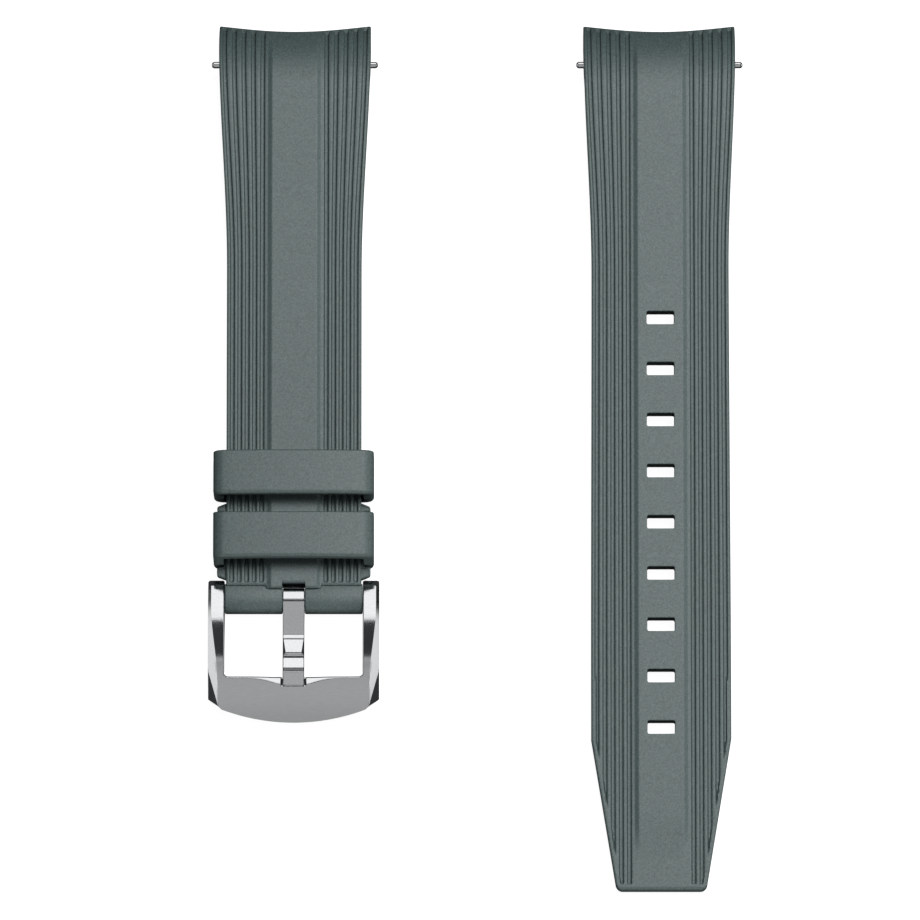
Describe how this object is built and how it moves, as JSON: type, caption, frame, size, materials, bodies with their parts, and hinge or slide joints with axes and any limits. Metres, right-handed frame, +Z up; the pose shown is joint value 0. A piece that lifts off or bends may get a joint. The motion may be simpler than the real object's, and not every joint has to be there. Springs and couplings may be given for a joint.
{
  "type": "rubber dive strap",
  "caption": "Two-piece rubber watch strap laid flat: ribbed halves with bent lug ends and sprung bars, slotted tapered tail, two keepers and a steel pin buckle.",
  "frame": {"origin": "middle of the laid-out strap at the surface it lies on", "axes": "+X across both halves from the short one to the long one, +Y towards the lug ends, +Z up out of the outer faces"},
  "size_m": [0.0768, 0.1262, 0.01],
  "materials": {
    "rubber": "matte",
    "keeper_rubber": "matte",
    "brushed_steel": "brushed",
    "polished_steel": "polished",
    "bar_steel": "satin",
    "spring_steel": "satin"
  },
  "bodies": {
    "short_half": {"short_strap": "rubber", "fixed_keeper": "keeper_rubber"},
    "long_half": {"long_strap": "rubber"},
    "floating_keeper": {"floating_keeper": "keeper_rubber"},
    "buckle_frame": {"buckle_frame": "brushed_steel"},
    "tang": {"tang": "polished_steel"},
    "short_lug_bar": {"short_lug_bar_tube": "bar_steel", "short_lug_bar_spring": "spring_steel"},
    "short_lug_bar_left_tip": {"short_lug_bar_left_tip": "bar_steel"},
    "short_lug_bar_right_tip": {"short_lug_bar_right_tip": "bar_steel"},
    "long_lug_bar": {"long_lug_bar_tube": "bar_steel", "long_lug_bar_spring": "spring_steel"},
    "long_lug_bar_left_tip": {"long_lug_bar_left_tip": "bar_steel"},
    "long_lug_bar_right_tip": {"long_lug_bar_right_tip": "bar_steel"},
    "buckle_bar": {"buckle_bar_tube": "bar_steel", "buckle_bar_spring": "spring_steel"},
    "buckle_bar_left_tip": {"buckle_bar_left_tip": "bar_steel"},
    "buckle_bar_right_tip": {"buckle_bar_right_tip": "bar_steel"}
  },
  "joints": [
    {"name": "halves_set_apart", "type": "slide", "parent": "short_half", "child": "long_half", "axis": [1, 0, 0], "range_m": [0, 0.03]},
    {"name": "floating_keeper_slide", "type": "slide", "parent": "short_half", "child": "floating_keeper", "axis": [0, 0.9987, 0.0502], "range_m": [-0.0006, 0.03]},
    {"name": "buckle_hinge", "type": "hinge", "parent": "short_half", "child": "buckle_frame", "pos_m": [-0.02618, -0.02186, 0.00198], "axis": [1, 0, 0], "range_deg": [-50, 20]},
    {"name": "tang_hinge", "type": "hinge", "parent": "buckle_frame", "child": "tang", "pos_m": [-0.02618, -0.02186, 0.00198], "axis": [1, 0, 0], "range_deg": [-40, 0]},
    {"name": "short_lug_bar_turn", "type": "hinge", "parent": "short_half", "child": "short_lug_bar", "pos_m": [-0.02618, 0.05629, 0.00544], "axis": [1, 0, 0], "continuous": true},
    {"name": "short_lug_bar_left_tip_press", "type": "slide", "parent": "short_lug_bar", "child": "short_lug_bar_left_tip", "axis": [1, 0, 0], "range_m": [0, 0.0011], "stiffness_N_per_m": 800, "deforming": ["short_lug_bar_spring"]},
    {"name": "short_lug_bar_right_tip_press", "type": "slide", "parent": "short_lug_bar", "child": "short_lug_bar_right_tip", "axis": [-1, 0, 0], "range_m": [0, 0.0011], "stiffness_N_per_m": 800, "deforming": ["short_lug_bar_spring"]},
    {"name": "long_lug_bar_turn", "type": "hinge", "parent": "long_half", "child": "long_lug_bar", "pos_m": [0.02643, 0.05629, 0.00546], "axis": [1, 0, 0], "continuous": true},
    {"name": "long_lug_bar_left_tip_press", "type": "slide", "parent": "long_lug_bar", "child": "long_lug_bar_left_tip", "axis": [1, 0, 0], "range_m": [0, 0.0011], "stiffness_N_per_m": 800, "deforming": ["long_lug_bar_spring"]},
    {"name": "long_lug_bar_right_tip_press", "type": "slide", "parent": "long_lug_bar", "child": "long_lug_bar_right_tip", "axis": [-1, 0, 0], "range_m": [0, 0.0011], "stiffness_N_per_m": 800, "deforming": ["long_lug_bar_spring"]},
    {"name": "buckle_bar_turn", "type": "hinge", "parent": "short_half", "child": "buckle_bar", "pos_m": [-0.02618, -0.02186, 0.00198], "axis": [1, 0, 0], "continuous": true},
    {"name": "buckle_bar_left_tip_press", "type": "slide", "parent": "buckle_bar", "child": "buckle_bar_left_tip", "axis": [1, 0, 0], "range_m": [0, 0.0011], "stiffness_N_per_m": 800, "deforming": ["buckle_bar_spring"]},
    {"name": "buckle_bar_right_tip_press", "type": "slide", "parent": "buckle_bar", "child": "buckle_bar_right_tip", "axis": [-1, 0, 0], "range_m": [0, 0.0011], "stiffness_N_per_m": 800, "deforming": ["buckle_bar_spring"]}
  ]
}
